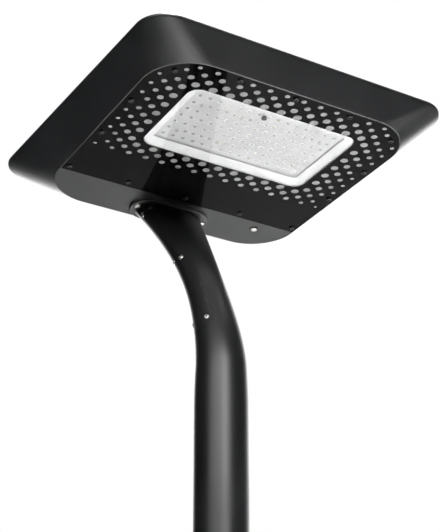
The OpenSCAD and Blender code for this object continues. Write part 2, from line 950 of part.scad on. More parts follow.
controller_post = 4;
controller_z = pack_z + controller_post;
controller_t = 1.6;
part_h = inside_top - controller_z - controller_t;

module charge_controller() {
    color("#2a6b45")
        at_head() {
            difference() {
                union() {
                    translate([-controller_w / 2, controller_y - controller_l / 2, controller_z])
                        cube([controller_w, controller_l, controller_t]);
                    at_sites(controller_screws_at, pack_z)
                        cylinder(d = 6, h = controller_post);
                }
                at_sites(controller_screws_at, pack_z - cut)
                    cylinder(d = 3, h = controller_post + controller_t + 2 * cut);
            }
            translate([-44, controller_y - 22, controller_z + controller_t])
                cube([34, 44, part_h]);
            translate([4, controller_y - 26, controller_z + controller_t])
                cube([30, 20, 0.7 * part_h]);
            for (x = [6, 20, 34])
                translate([x, controller_y + 16, controller_z + controller_t])
                    cylinder(d = 10, h = part_h);
        }
}

module controller_screws() {
    color("#8d9093")
        at_head()
            at_sites(controller_screws_at, controller_z + controller_t)
                screw_down(3, 5, 1.6, controller_z + controller_t - chassis_z, 2);
}

// Solar module, let into the top of the rim

module solar_module() {
    color("#10182c")
        at_head()
            slab(rounded(RIM, RIM_R, head_wall + 1 + fit), module_z, module_z + module_t);
}

module solar_module_seal() {
    color("#1b1c1d")
        at_head()
            difference() {
                slab(rounded(RIM, RIM_R, head_wall + 1 + fit), seat_z, module_z);
                slab(
                    rounded(RIM, RIM_R, head_wall + module_ledge), seat_z - cut, module_z + cut
                );
            }
}

module solar_junction_box() {
    color("#1b1c1d")
        at_head()
            slab(
                shift(rounded(box(90, 46), all_r(5), 0, 6), 0, base_rear - 40),
                module_z - 11, module_z
            );
}

base_flange();
base_grub_screws();
pole();
neck_cover();
neck_cover_gasket();
neck_cover_screws();
foot_gasket();
foot_bolts();
head_housing();
vent_plug();
light_panel();
light_panel_gasket();
light_panel_screws();
window_pane();
window_seal();
light_frame();
lens_plate();
lens_screws();
sensor_bezel();
led_board();
chassis_plate();
chassis_screws();
battery_packs();
battery_straps();
battery_strap_screws();
charge_controller();
controller_screws();
solar_module();
solar_module_seal();
solar_junction_box();
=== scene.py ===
# %% [markdown]
# # A solar path light in Blender
#
# The real object is a street lamp that needs no cable: a dark round pole whose upper
# end swings back as a cast neck, and a flat, almost square head bolted on top of it.
# Under the head is a gloss black panel with a window full of lenses, and on top is a
# solar module. This lesson dresses the imported model of that lamp, piece by piece.
#
# The imported model is the frame. It is loaded first, it is in metres with Z up, and
# nothing in it is moved.

import json
import math

import bmesh
import bpy
from mathutils import Matrix, Vector


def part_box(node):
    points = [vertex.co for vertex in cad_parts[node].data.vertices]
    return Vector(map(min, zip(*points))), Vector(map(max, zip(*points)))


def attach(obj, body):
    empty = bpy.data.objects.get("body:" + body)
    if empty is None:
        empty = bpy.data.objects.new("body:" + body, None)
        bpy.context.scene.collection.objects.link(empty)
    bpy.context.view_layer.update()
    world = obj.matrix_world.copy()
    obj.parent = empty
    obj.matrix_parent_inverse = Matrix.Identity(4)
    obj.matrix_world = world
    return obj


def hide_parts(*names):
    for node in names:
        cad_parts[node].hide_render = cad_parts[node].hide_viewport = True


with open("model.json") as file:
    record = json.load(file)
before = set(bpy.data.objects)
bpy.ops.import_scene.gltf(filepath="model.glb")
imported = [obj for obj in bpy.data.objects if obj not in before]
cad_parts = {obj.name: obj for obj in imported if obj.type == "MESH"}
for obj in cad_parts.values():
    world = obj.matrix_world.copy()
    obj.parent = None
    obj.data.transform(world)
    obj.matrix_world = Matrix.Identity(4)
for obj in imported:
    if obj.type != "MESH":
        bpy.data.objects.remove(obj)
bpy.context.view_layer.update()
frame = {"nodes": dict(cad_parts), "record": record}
MM = 0.001
HEAD_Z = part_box("light_panel")[0].z
print("nodes:", len(frame["nodes"]), "underside of the head at", round(HEAD_Z, 4), "m")

# %% [markdown]
# ## Camera
#
# The lamp is seen from the ground in front of it and to its left, looking up at the
# head's underside, with the pole cut off by the lower edge. The parts of the underside
# lie in one flat plane, so the camera's place was worked out from the corners of the
# panel and the window, whose real sizes are known. That is surer than turning a camera
# by eye, and every later piece can then be laid over the picture.
#
# A camera looks along its own -Z, so azimuth and elevation become two turns: up from
# straight down by 90 degrees plus the elevation, then round to the right.

# %% Camera
CAMERA_AZIMUTH = 29.944
CAMERA_ELEVATION = 26.618
CAMERA_AT = (-0.8820, -1.5261, HEAD_Z - 1.0532)
CAMERA_LENS = 91.25

camera_data = bpy.data.cameras.new("camera")
camera = bpy.data.objects.new("camera", camera_data)
bpy.context.scene.collection.objects.link(camera)
bpy.context.scene.camera = camera
camera_data.sensor_width = 36
camera_data.lens = CAMERA_LENS
camera_data.clip_start = 0.05
camera_data.clip_end = 200
camera.location = CAMERA_AT
camera.rotation_euler = (
    math.radians(90 + CAMERA_ELEVATION), 0, math.radians(-CAMERA_AZIMUTH)
)
print("camera at", [round(c, 3) for c in CAMERA_AT], "lens", CAMERA_LENS, "mm")

# %% [markdown]
# ## Kinds of ray
#
# World and floor can answer each kind of ray differently, so a white background need
# not be more light on the lamp. The Light Path node tells the kinds apart. Two small
# helpers make it easy to read: one says what kind a ray is, and one chooses by it.

# %% Kinds of ray
def ray_is(tree, *kinds):
    """1 for rays of the given kinds and 0 for the rest."""
    path = tree.nodes.new("ShaderNodeLightPath")
    total = path.outputs["Is " + kinds[0] + " Ray"]
    for kind in kinds[1:]:
        most = tree.nodes.new("ShaderNodeMath")
        most.operation = "MAXIMUM"
        tree.links.new(total, most.inputs[0])
        tree.links.new(path.outputs["Is " + kind + " Ray"], most.inputs[1])
        total = most.outputs[0]
    return total


def choose(tree, switch, otherwise, chosen):
    """A number that is chosen where the switch is 1; either may be a socket."""
    node = tree.nodes.new("ShaderNodeMix")
    tree.links.new(switch, node.inputs["Factor"])
    for name, value in (("A", otherwise), ("B", chosen)):
        if isinstance(value, float):
            node.inputs[name].default_value = value
        else:
            tree.links.new(value, node.inputs[name])
    return node.outputs["Result"]


print("two helpers for kinds of ray")

# %% [markdown]
# ## World
#
# The camera sees white in all directions. What the paint mirrors is a dark room with
# one bright wall behind the lamp, and all other rays see a dim grey. A plain white room
# is the usual choice and is kinder to other light, but it made the black walls and the
# pole lighter than in the picture. The wall is stronger than white, so what the gloss
# mirrors here is tuned and not a measure of the paint.
#
# In the world a generated coordinate is simply a direction, and its dot product with
# the way to the wall tells how near to the wall a ray points.

# %% World
WORLD_LIGHT = 0.08
WALL_WAY = (0.643, 0.766, 0.0)
WALL_FROM = 0.58
WALL_FULL = 0.97
WALL_SHINE = 3.8
ROOM_SHINE = 0.03

bpy.context.scene.view_settings.view_transform = "Standard"
world = bpy.data.worlds.new("studio")
bpy.context.scene.world = world
world.use_nodes = True
sky = world.node_tree
towards_wall = sky.nodes.new("ShaderNodeVectorMath")
towards_wall.operation = "DOT_PRODUCT"
towards_wall.inputs[1].default_value = WALL_WAY
direction = sky.nodes.new("ShaderNodeTexCoord").outputs["Generated"]
sky.links.new(direction, towards_wall.inputs[0])
wall = sky.nodes.new("ShaderNodeMapRange")
wall.interpolation_type = "SMOOTHSTEP"
wall.inputs["From Min"].default_value = WALL_FROM
wall.inputs["From Max"].default_value = WALL_FULL
wall.inputs["To Min"].default_value = ROOM_SHINE
wall.inputs["To Max"].default_value = WALL_SHINE
sky.links.new(towards_wall.outputs["Value"], wall.inputs["Value"])
mirrored = choose(sky, ray_is(sky, "Glossy"), WORLD_LIGHT, wall.outputs[0])
strength = choose(sky, ray_is(sky, "Camera", "Transmission"), mirrored, 1.0)
background = sky.nodes["Background"]
background.inputs["Color"].default_value = (1, 1, 1, 1)
sky.links.new(strength, background.inputs["Strength"])
print("world", WORLD_LIGHT, "wall", WALL_SHINE)

# %% [markdown]
# ## Floor
#
# The floor is one wide plane with a tone for each kind of ray. To the camera it is pale
# by a glow of its own and keeps the lamp's shadow. To the paint it is a light floor
# with painted shade on its left: a black zone that only mirroring rays see, so that the
# neck mirrors a dark surround. To all else, and through the window, it is nearly white,
# and throws light up at the underside.

# %% Floor
FLOOR_SIZE = 60
FLOOR_COLOUR = 0.95
FLOOR_MIRRORED = 0.78
FLOOR_SEEN = 0.025
FLOOR_LIFT = 0.79
MIRRORED_SHADE_FROM = -0.95
MIRRORED_SHADE_TO = -0.65
MIRRORED_SHADE_TONE = 0.01

bpy.ops.mesh.primitive_plane_add(size=FLOOR_SIZE, location=(0, 0, -0.5 * MM))
floor = bpy.context.active_object
floor.name = "studio_floor"
floor_material = bpy.data.materials.new("pale_floor")
floor_material.use_nodes = True
ground = floor_material.node_tree
ground_body = ground.nodes["Principled BSDF"]
spot = ground.nodes.new("ShaderNodeSeparateXYZ")
ground.links.new(ground.nodes.new("ShaderNodeTexCoord").outputs["Object"], spot.inputs[0])
# Painted shade: the floor turns black left of x = -0.65 m for mirroring rays only, for the
# neck's dark reflection.
mirrored_shade = ground.nodes.new("ShaderNodeMapRange")
mirrored_shade.inputs["From Min"].default_value = MIRRORED_SHADE_FROM
mirrored_shade.inputs["From Max"].default_value = MIRRORED_SHADE_TO
mirrored_shade.inputs["To Min"].default_value = MIRRORED_SHADE_TONE
mirrored_shade.inputs["To Max"].default_value = FLOOR_MIRRORED
ground.links.new(spot.outputs["X"], mirrored_shade.inputs["Value"])
paint_sees = choose(ground, ray_is(ground, "Glossy"), FLOOR_COLOUR, mirrored_shade.outputs[0])
window_sees = choose(ground, ray_is(ground, "Transmission"), paint_sees, FLOOR_COLOUR)
tone = choose(ground, ray_is(ground, "Camera"), window_sees, FLOOR_SEEN)
ground.links.new(tone, ground_body.inputs["Base Color"])
ground_body.inputs["Roughness"].default_value = 0.85
ground_body.inputs["Specular IOR Level"].default_value = 0
ground_body.inputs["Emission Color"].default_value = (1, 1, 1, 1)
lift = choose(ground, ray_is(ground, "Camera"), 0.0, FLOOR_LIFT)
ground.links.new(lift, ground_body.inputs["Emission Strength"])
floor.data.materials.append(floor_material)
print("floor", FLOOR_COLOUR)

# %% [markdown]
# ## Lamps
#
# A black object is drawn by what it mirrors, more than by what falls on it. A wide soft
# lamp stands high on the camera's side: it makes the long soft line down the pole. It
# starts above the head's level, so it stays off the underside, and it fades from the
# neck, which leans back and mirrors lower things. A second, narrow lamp makes that
# line brighter towards its right edge.
#
# Three lamps hang overhead and face down, and their beams are kept narrow. Each makes
# a bright pool on the floor: one round the foot of the pole, which lights all that is
# pale under the head, one behind to the right, which the bare strip and the panel
# mirror, and a small one in front, which gives the front wall its lighter end.
#
# These lamps are stronger than plain studio light. Only the floor lights the white
# frame under the head, and that frame has to come out pale. The price is that a colour
# renders lighter than it is written, about five times for the printed dots, and so the
# finishes below are written darker than the real ones. For use under other light the
# lamps should come down and those colours go up.

# %% Lamps
def soft_lamp(name, at, towards, width, height, power, beam):
    """An area lamp; beam is the full angle of its cone in degrees."""
    data = bpy.data.lights.new(name, "AREA")
    data.shape = "RECTANGLE"
    data.size = width
    data.size_y = height
    data.energy = power
    data.spread = math.radians(beam)
    lamp = bpy.data.objects.new(name, data)
    bpy.context.scene.collection.objects.link(lamp)
    lamp.location = at
    lamp.visible_camera = False
    lamp.rotation_euler = (Vector(towards) - Vector(at)).to_track_quat("-Z", "Y").to_euler()
    print("lamp", name, power, "W")
    return lamp


soft_lamp("wide_front", (-1.85, -2.6, 3.95), (0, 0, 3.6), 7.4, 2.4, 175, 110)
soft_lamp("narrow_front", (-0.75, -3.1, 3.95), (0, 0, 3.6), 1.5, 2.4, 36, 110)
soft_lamp("floor_below", (1.1, 0.2, 7.0), (1.1, 0.2, 0), 2.0, 2.0, 620, 36)
soft_lamp("floor_behind", (3.6, 4.0, 7.0), (3.6, 4.0, 0), 2.0, 2.0, 40, 50)
soft_lamp("floor_front", (1.1, -3.8, 7.0), (1.1, -3.8, 0), 0.8, 0.8, 12, 18)

# %% [markdown]
# ## A finish is more than a colour
#
# Every surface of the lamp gets a procedural finish. The same few steps come back each
# time: a noise of a stated size in millimetres, spread between two values, which then
# drives the colour, the roughness or a bump. They are kept in one small class. The
# noise is laid out in the object's own space, where one unit is a metre, and so a
# grain of 2 mm is 2 mm on every piece. What is the same all over a surface is set on
# the shader itself.

# %% Finish
class Finish:
    """A Principled material, and the textures in millimetres that drive it."""

    def __init__(self, name, colour, roughness, **settings):
        self.material = bpy.data.materials.new("finish_" + name)
        self.material.use_nodes = True
        self.tree = self.material.node_tree
        self.shader = self.tree.nodes["Principled BSDF"]
        self.place = self.tree.nodes.new("ShaderNodeTexCoord").outputs["Object"]
        self.shader.inputs["Base Color"].default_value = (*colour, 1)
        self.shader.inputs["Roughness"].default_value = roughness
        for socket, value in settings.items():
            self.shader.inputs[socket.replace("_", " ")].default_value = value

    def noise(self, size, detail=2, stretch=(1, 1, 1)):
        """A noise whose features are about size mm across, stretched along the axes."""
        scaled = self.tree.nodes.new("ShaderNodeMapping")
        scaled.inputs["Scale"].default_value = [1 / (size * MM * s) for s in stretch]
        texture = self.tree.nodes.new("ShaderNodeTexNoise")
        texture.inputs["Scale"].default_value = 1
        texture.inputs["Detail"].default_value = detail
        self.tree.links.new(self.place, scaled.inputs["Vector"])
        self.tree.links.new(scaled.outputs[0], texture.inputs["Vector"])
        return texture.outputs["Fac"]

    def spread(self, value, low, high, start=0.3, end=0.7):
        """Maps a texture's middle range to low..high."""
        fit = self.tree.nodes.new("ShaderNodeMapRange")
        fit.inputs["From Min"].default_value = start
        fit.inputs["From Max"].default_value = end
        fit.inputs["To Min"].default_value = low
        fit.inputs["To Max"].default_value = high
        self.tree.links.new(value, fit.inputs["Value"])
        return fit.outputs[0]

    def roughen(self, value, low, high):
        self.tree.links.new(self.spread(value, low, high), self.shader.inputs["Roughness"])

    def tint(self, value, first, second, start=0.3, end=0.7):
        """Colours the surface from first to second as the texture rises."""
        blend = self.tree.nodes.new("ShaderNodeMix")
        blend.data_type = "RGBA"
        blend.inputs["A"].default_value = (*first, 1)
        blend.inputs["B"].default_value = (*second, 1)
        self.tree.links.new(self.spread(value, 0, 1, start, end), blend.inputs["Factor"])
        self.tree.links.new(blend.outputs["Result"], self.shader.inputs["Base Color"])

    def bump(self, value, depth):
        """Raises the surface by up to depth mm where the texture is high."""
        relief = self.tree.nodes.new("ShaderNodeBump")
        relief.inputs["Distance"].default_value = depth * MM
        self.tree.links.new(value, relief.inputs["Height"])
        self.tree.links.new(relief.outputs[0], self.shader.inputs["Normal"])


def grey(value):
    return (value, value, value)


print("one class for every finish")

# %% [markdown]
# ## Powder coat
#
# Pole, neck and head are aluminium under a black powder coat. Such a coat is baked on,
# so it isn't quite flat: it has a fine orange peel of a millimetre or two, and its
# gloss drifts a little over a hand's breadth. The colour is a soft black, slightly
# lighter on the pole, and darker than a real coat because the lamps are strong. Most of
# what the eye sees on it is the studio in its satin gloss, and so the roughness matters
# more than the colour.

# %% Powder coat
def powder_coat(name, colour, roughness):
    finish = Finish(name, colour, roughness, Specular_IOR_Level=0.38)
    drift = finish.noise(60, detail=3)
    finish.tint(drift, [0.86 * c for c in colour], [1.16 * c for c in colour])
    finish.roughen(drift, roughness - 0.025, roughness + 0.03)
    finish.bump(finish.noise(1.4, detail=3), 0.012)
    return finish.material


DARK_PAINT = powder_coat("dark_paint", (0.0050, 0.0052, 0.0055), 0.31)
POLE_PAINT = powder_coat("pole_paint", (0.0058, 0.0060, 0.0064), 0.36)

# %% [markdown]
# ## Gloss black panel and its printed dots
#
# The panel is a hard black plastic sheet, polished enough to mirror the neck below it
# as a sharp dark band. Its mirror is faint, so the specular level is low, and its own
# colour is close to none. The dots on it are a light grey print, matt beside the sheet.
# A light grey would be about 0.30. Under these strong lamps 0.06 gives that tone.

# %% Panel finishes
def gloss_panel():
    finish = Finish("gloss_black", grey(0.0012), 0.03, Specular_IOR_Level=0.048)
    film = finish.noise(90, detail=4)
    finish.roughen(film, 0.02, 0.05)
    finish.tint(film, grey(0.0009), grey(0.0018))
    finish.bump(finish.noise(40, detail=1), 0.0012)
    return finish.material


def printed_grey():
    finish = Finish("printed_grey", grey(0.059), 0.45, Specular_IOR_Level=0.3)
    mottle = finish.noise(3.5, detail=3)
    finish.tint(mottle, grey(0.050), grey(0.068))
    finish.bump(finish.noise(0.8), 0.004)
    return finish.material


GLOSS_BLACK = gloss_panel()
PRINT_GREY = printed_grey()

# %% [markdown]
# ## Clear and white plastics
#
# The window is clear, the lens plate behind it is clear too, and all that is white
# behind them is what makes the window glow: a sloping frame and the board of the light
# sources. Both clear pieces are solid plastic with true thickness. Real clear plastic
# has an index of about 1.5 to 1.6. It is lower here, because the lenses then show as
# faintly as in the picture. A trace of roughness stands for the moulding.

# %% Clear and white finishes
def clear_plastic(name, roughness, index, wave, depth, gloss=0.5):
    finish = Finish(name, grey(1.0), roughness, IOR=index, Transmission_Weight=1.0,
                    Specular_IOR_Level=gloss)
    finish.roughen(finish.noise(30, detail=3), roughness * 0.6, roughness * 1.4)
    finish.bump(finish.noise(wave, detail=2), depth)
    return finish.material


def white_plastic(name, tone, roughness, grain):
    finish = Finish(name, grey(tone), roughness)
    finish.tint(finish.noise(25, detail=3), grey(tone * 0.97), grey(min(1, tone * 1.03)))
    finish.roughen(finish.noise(8), roughness - 0.05, roughness + 0.05)
    finish.bump(finish.noise(grain), 0.01)
    return finish.material


CLEAR_PANE = clear_plastic("clear_pane", 0.01, 1.4, 60, 0.002)
LENS_CLEAR = clear_plastic("lens_clear", 0.08, 1.2, 5, 0.01)
WHITE_PLASTIC = white_plastic("white_plastic", 0.95, 0.4, 1.2)
WHITE_BOARD = white_plastic("white_board", 0.95, 0.5, 0.6)

# %% [markdown]
# ## Metals, rubber and the rest
#
# Screws are stainless steel with fine turning marks, or blackened. Seals are matt
# rubber. The plates and packs inside are never seen from outside, but they are part of
# the model, so each gets the finish that it would have on the bench.

# %% Metals, rubber and the rest
def metal(name, colour, roughness, grain, stretch):
    finish = Finish(name, colour, roughness, Metallic=1.0)
    marks = finish.noise(grain, detail=3, stretch=stretch)
    finish.roughen(marks, roughness - 0.08, roughness + 0.1)
    finish.tint(finish.noise(12), [0.88 * c for c in colour], colour)
    finish.bump(marks, 0.008)
    return finish.material


def dull(name, colour, roughness, grain, depth, gloss=0.5):
    finish = Finish(name, colour, roughness, Specular_IOR_Level=gloss)
    finish.tint(finish.noise(15, detail=3), [0.8 * c for c in colour], [1.2 * c for c in colour])
    finish.roughen(finish.noise(5), roughness - 0.06, roughness + 0.06)
    finish.bump(finish.noise(grain), depth)
    return finish.material


FINISHES = {
    "dark_paint": DARK_PAINT,
    "pole_paint": POLE_PAINT,
    "gloss_black": GLOSS_BLACK,
    "clear_pane": CLEAR_PANE,
    "lens_clear": LENS_CLEAR,
    "white_plastic": WHITE_PLASTIC,
    "white_board": WHITE_BOARD,
    "stainless": metal("stainless", (0.62, 0.61, 0.59), 0.28, 0.5, (1, 1, 6)),
    "bare_aluminium": metal("bare_aluminium", (0.72, 0.73, 0.74), 0.38, 0.6, (12, 1, 1)),
    "black_screw": dull("black_screw", (0.0015, 0.0015, 0.0016), 0.4, 0.4, 0.01, 0.2),
    "gasket": dull("gasket", (0.009, 0.009, 0.009), 0.75, 0.5, 0.02),
    "black_plastic": dull("black_plastic", (0.010, 0.010, 0.011), 0.45, 0.7, 0.015),
    "battery_wrap": dull("battery_wrap", (0.02, 0.10, 0.38), 0.32, 6.0, 0.05),
    "circuit_green": dull("circuit_green", (0.010, 0.110, 0.040), 0.35, 1.5, 0.03),
    "solar_glass": dull("solar_glass", (0.004, 0.006, 0.016), 0.12, 1.2, 0.004),
}
SLOT_OF = {part["node"]: part["material_slot"] for part in frame["record"]["subparts"]}
for node, piece in frame["nodes"].items():
    for slot in piece.material_slots:
        slot.material = FINISHES[SLOT_OF[node]]
print("finishes:", len(FINISHES))

# %% [markdown]
# ## Tools for making meshes
#
# The head is all rounded outlines at different heights, and the neck is all ellipses.
# Both are rings of points joined into a skin, so one function makes almost every
# piece. It takes millimetres, which read like the real sizes, and counts z from the
# head's underside. Holes and pockets are cut afterwards with a Boolean, as a drill
# would, and sharp edges get a small bevel, because a real edge always catches light.

# %% Rings and skins
def mesh_piece(name, points, faces, base):
    """A closed mesh from points in millimetres, z counted from base, which is in metres."""
    mesh = bpy.data.meshes.new(name)
    mesh.from_pydata([(p[0] * MM, p[1] * MM, base + p[2] * MM) for p in points], [], faces)
    work = bmesh.new()
    work.from_mesh(mesh)
    bmesh.ops.recalc_face_normals(work, faces=work.faces)
    work.to_mesh(mesh)
    work.free()
    piece = bpy.data.objects.new(name, mesh)
    bpy.context.scene.collection.objects.link(piece)
    return piece


def skin(name, rings, base=HEAD_Z, ring_of_rings=False):
    """Joins rings of equally many points, closed by caps or by joining last to first."""
    count = len(rings[0])
    faces = []
    for k in range(len(rings) if ring_of_rings else len(rings) - 1):
        low = k * count
        high = (k + 1) % len(rings) * count
        for i in range(count):
            j = (i + 1) % count
            faces.append((low + i, low + j, high + j, high + i))
    if not ring_of_rings:
        faces.append(tuple(reversed(range(count))))
        faces.append(tuple(range((len(rings) - 1) * count, len(rings) * count)))
    return mesh_piece(name, [p for ring in rings for p in ring], faces, base)


def turned(name, profile, base=HEAD_Z, sides=48, hollow=False):
    """A turned piece: profile is (radius, z) pairs, and each becomes a round ring."""
    turns = [math.tau * i / sides for i in range(sides)]
    rings = [[(r * math.cos(t), r * math.sin(t), z) for t in turns] for r, z in profile]
    return skin(name, rings, base, hollow)


print("skins and turned pieces")


# %% Outlines
CORNER_STEPS = 24


def outline(corners, radii, inset=0.0, steps=CORNER_STEPS):
    """A convex outline with round corners, set in all round, counter-clockwise."""
    points = []
    for i, corner in enumerate(corners):
        here = Vector(corner)
        before = (here - Vector(corners[i - 1])).normalized()
        after = (Vector(corners[(i + 1) % len(corners)]) - here).normalized()
        turn = before.angle(after)
        middle = here + (after - before).normalized() * radii[i] / math.cos(turn / 2)
        start = math.atan2(before.y, before.x) - math.pi / 2
        for k in range(steps + 1):
            angle = start + turn * k / steps
            reach = radii[i] - inset
            points.append(middle + reach * Vector((math.cos(angle), math.sin(angle))))
    return points


def rectangle(width, length, x=0.0, y=0.0):
    return [
        (x - width / 2, y - length / 2), (x + width / 2, y - length / 2),
        (x + width / 2, y + length / 2), (x - width / 2, y + length / 2),
    ]


def at_height(points, z):
    return [(p[0], p[1], z) for p in points]


def slab(name, points, low, high, base=HEAD_Z):
    return skin(name, [at_height(points, low), at_height(points, high)], base)


def round_hole(name, x, y, width, low, high, base=HEAD_Z, sides=48):
    tool = turned(name, [(width / 2, low), (width / 2, high)], base, sides)
    tool.data.transform(Matrix.Translation((x * MM, y * MM, 0)))
    return tool


print("outlines, slabs and holes")


# %% Cutting, joining and softening
LEVEL = 0.99999


def settle(piece):
    """Applies the piece's modifiers."""
    bpy.context.view_layer.objects.active = piece
    for step in list(piece.modifiers):
        bpy.ops.object.modifier_apply(modifier=step.name)
    return piece


def combine(piece, tool, operation):
    step = piece.modifiers.new("combine", "BOOLEAN")
    step.operation = operation
    step.solver = "MANIFOLD"
    step.object = tool
    settle(piece)
    bpy.data.objects.remove(tool)
    return piece


def cut(piece, *tools):
    for tool in tools:
        combine(piece, tool, "DIFFERENCE")
    return piece


def add(piece, *others):
    for other in others:
        combine(piece, other, "UNION")
    return piece


def gather(name, parts):
    """One object from several separate closed ones."""
    work = bmesh.new()
    for part in parts:
        work.from_mesh(part.data)
    mesh = bpy.data.meshes.new(name)
    work.to_mesh(mesh)
    work.free()
    for part in parts:
        bpy.data.objects.remove(part)
    piece = bpy.data.objects.new(name, mesh)
    bpy.context.scene.collection.objects.link(piece)
    return piece


def soften(piece, width, angle=35, segments=3):
    """Bevels the edges that are sharper than angle."""
    step = piece.modifiers.new("soften", "BEVEL")
    step.width = width * MM
    step.segments = segments
    step.limit_method = "ANGLE"
    step.angle_limit = math.radians(angle)
    return settle(piece)


def present(piece, slot, *nodes, finish=None, smooth=32):
    """Shades the piece, gives it its finish and puts it in its nodes' place."""
    piece.data.shade_smooth()
    piece.data.set_sharp_from_angle(angle=math.radians(smooth))
    for face in piece.data.polygons:
        if abs(face.normal.z) > LEVEL:
            face.use_smooth = False
    even = piece.modifiers.new("even", "WEIGHTED_NORMAL")
    even.keep_sharp = True
    settle(piece)
    piece.data.materials.clear()
    piece.data.materials.append(finish or FINISHES[slot])
    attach(piece, "root")
    if nodes:
        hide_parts(*nodes)
    print(piece.name, len(piece.data.polygons), "faces")
    return piece


# %% [markdown]
# ## Neck and pole
#
# The pole is a straight tube. The neck above it is a casting: it swings back, faster
# and faster, slims on the way and flares sideways into the foot. A curve with a bevel
# can't do that, because the section changes shape along it. So each section is worked
# out on its own: an ellipse at a depth below the head, with its centre and its two
# half widths as smooth functions of the depth. One skin over these ellipses is the
# neck, and its first ring is simply the pole's lower end.

# %% Neck sections
POLE_D = 76.2
POLE_SEAT = 4
NECK_BEND = 330
NECK_TOP = 8
NECK_END = 3
NECK_REACH = 171
NECK_POWER = 1.6
NECK_W = 62.6
NECK_L = 57.2
NECK_FLARE = 26
NECK_LEN = NECK_BEND + 90
NECK_SIDES = 96
NECK_RINGS = 84
HEAD_MM = HEAD_Z / MM


def smooth_step(t):
    t = min(1, max(0, t))
    return t * t * (3 - 2 * t)


def mix(a, b, t):
    return a + (b - a) * t


def swing(depth):
    return max(0, NECK_BEND - max(depth, NECK_TOP)) / (NECK_BEND - NECK_TOP)


def neck_y(depth):
    return NECK_REACH * swing(depth) ** NECK_POWER


def neck_lean(depth):
    rate = NECK_REACH * NECK_POWER / (NECK_BEND - NECK_TOP)
    return rate * swing(depth) ** (NECK_POWER - 1)


def neck_half_x(depth):
    slim = mix(POLE_D / 2, NECK_W / 2, smooth_step((NECK_LEN - 30 - depth) / 190))
    return slim + NECK_FLARE * max(0, (200 - depth) / 192) ** 2


def neck_half_y(depth):
    slim = mix(POLE_D / 2, NECK_L / 2, smooth_step((NECK_LEN - 20 - depth) / 230))
    return slim + 2 * smooth_step((170 - depth) / 160)


def neck_ring(depth, inset=0.0):
    across = neck_half_x(depth) - inset
    along = neck_half_y(depth) - inset * math.sqrt(1 + neck_lean(depth) ** 2)
    turns = [math.tau * i / NECK_SIDES for i in range(NECK_SIDES)]
    return [
        (across * math.cos(t), neck_y(depth) + along * math.sin(t), -depth) for t in turns
    ]


def steps_between(first, last, count):
    return [mix(first, last, k / count) for k in range(count + 1)]


def neck_skin(name, inset, lowest):
    depths = steps_between(lowest, NECK_TOP, NECK_RINGS) + [NECK_END]
    return skin(name, [neck_ring(d, inset) for d in depths])


print("neck leans", round(math.degrees(math.atan(neck_lean(NECK_TOP)))), "degrees at its top")

# %% [markdown]
# ### The cover's outline
#
# A long cover closes the neck's hollow on its left side. Seen from that side it
# follows the neck, narrows towards the top and ends in a round at the bottom. It is
# drawn once, in that side view, and pushed through the neck as a prism. The same prism
# cuts the pocket, a little larger, and trims the cover, so the seam is even all along.

# %% Cover outline
COVER_TOP = 7
COVER_BOTTOM = 278
COVER_ROUND = 17
COVER_HALF = 18.5
COVER_T = 3
COVER_GASKET_T = 0.6
COVER_GAP = 0.6


def cover_front(depth):
    if depth > 90:
        return COVER_HALF + 7.5 * (depth - 90) / 188
    return COVER_HALF + 6 * ((90 - depth) / 78) ** 2


def cover_back(depth):
    return COVER_HALF + 7.5 * (depth - 90) / 188 - 7 * max(0, (134 - depth) / 112)


def cover_outline(inset):
    low = COVER_BOTTOM - COVER_ROUND
    half = cover_front(low) - inset
    points = [(neck_y(COVER_TOP) - 16, -COVER_TOP - inset)]
    for d in steps_between(COVER_TOP + inset, low, 40):
        points.append((neck_y(d) - cover_front(d) + inset, -d))
    for k in range(1, 24):
        turn = math.pi * k / 24
        drop = (COVER_ROUND - inset) * math.sin(turn)
        points.append((neck_y(low) - half * math.cos(turn), -low - drop))
    for d in steps_between(low, COVER_TOP + 15 + inset, 40):
        points.append((neck_y(d) + cover_back(d) - inset, -d))
    return points


def cover_prism(name, inset):
    side_view = cover_outline(inset)
    return skin(name, [[(x, y, z) for y, z in side_view] for x in (-80.0, -6.0)])


print("cover outline of", len(cover_outline(0)), "points")

# %% [markdown]
# ### Pole, neck and foot in one
#
# The foot is a stadium-shaped plate under the head. It is joined to the neck with a
# Boolean, and then the cover's pocket and the two pockets for the foot bolts are cut,
# in the order in which a workshop would do it.

# %% Pole
FOOT_L = 134
FOOT_W = 64
FOOT_Y = 170
FOOT_LOW = -5
FOOT_HIGH = -1
FOOT_BOLTS = [(-58.5, 166), (58.5, 166)]
FOOT_POCKET_D = 12


def stadium(inset):
    return outline(rectangle(FOOT_L, FOOT_W, 0, FOOT_Y), [FOOT_W / 2 - 0.1] * 4, inset, 32)


def foot_plate():
    edge = 1.2
    rings = [at_height(stadium(edge * (1 - t) ** 2), FOOT_LOW + edge * t * t) for t in
             (0, 0.25, 0.5, 0.75, 1)]
    rings.append(at_height(stadium(0.0), FOOT_HIGH - 0.4))
    rings.append(at_height(stadium(0.4), FOOT_HIGH))
    return skin("foot_plate", rings)


def cover_pocket():
    pocket = cover_prism("pocket", -COVER_GAP)
    return cut(pocket, neck_skin("core", COVER_T + COVER_GASKET_T, 330))


def foot_pockets():
    return [
        round_hole("foot_pocket", x, y, FOOT_POCKET_D, -60, FOOT_LOW + 1) for x, y in FOOT_BOLTS
    ]


depths = [HEAD_MM - POLE_SEAT, NECK_LEN + 1]
depths += steps_between(NECK_LEN, NECK_TOP, NECK_RINGS) + [NECK_END]
pole = skin("pole_and_neck", [neck_ring(d) for d in depths])
add(pole, foot_plate())
cut(pole, cover_pocket(), *foot_pockets())
soften(pole, 0.35, 50, 2)
present(pole, "pole_paint", "pole")

# %% [markdown]
# A rubber gasket lies between the foot and the head. It swells out a little under the
# bolts' pressure, which draws a thin black line round the foot.

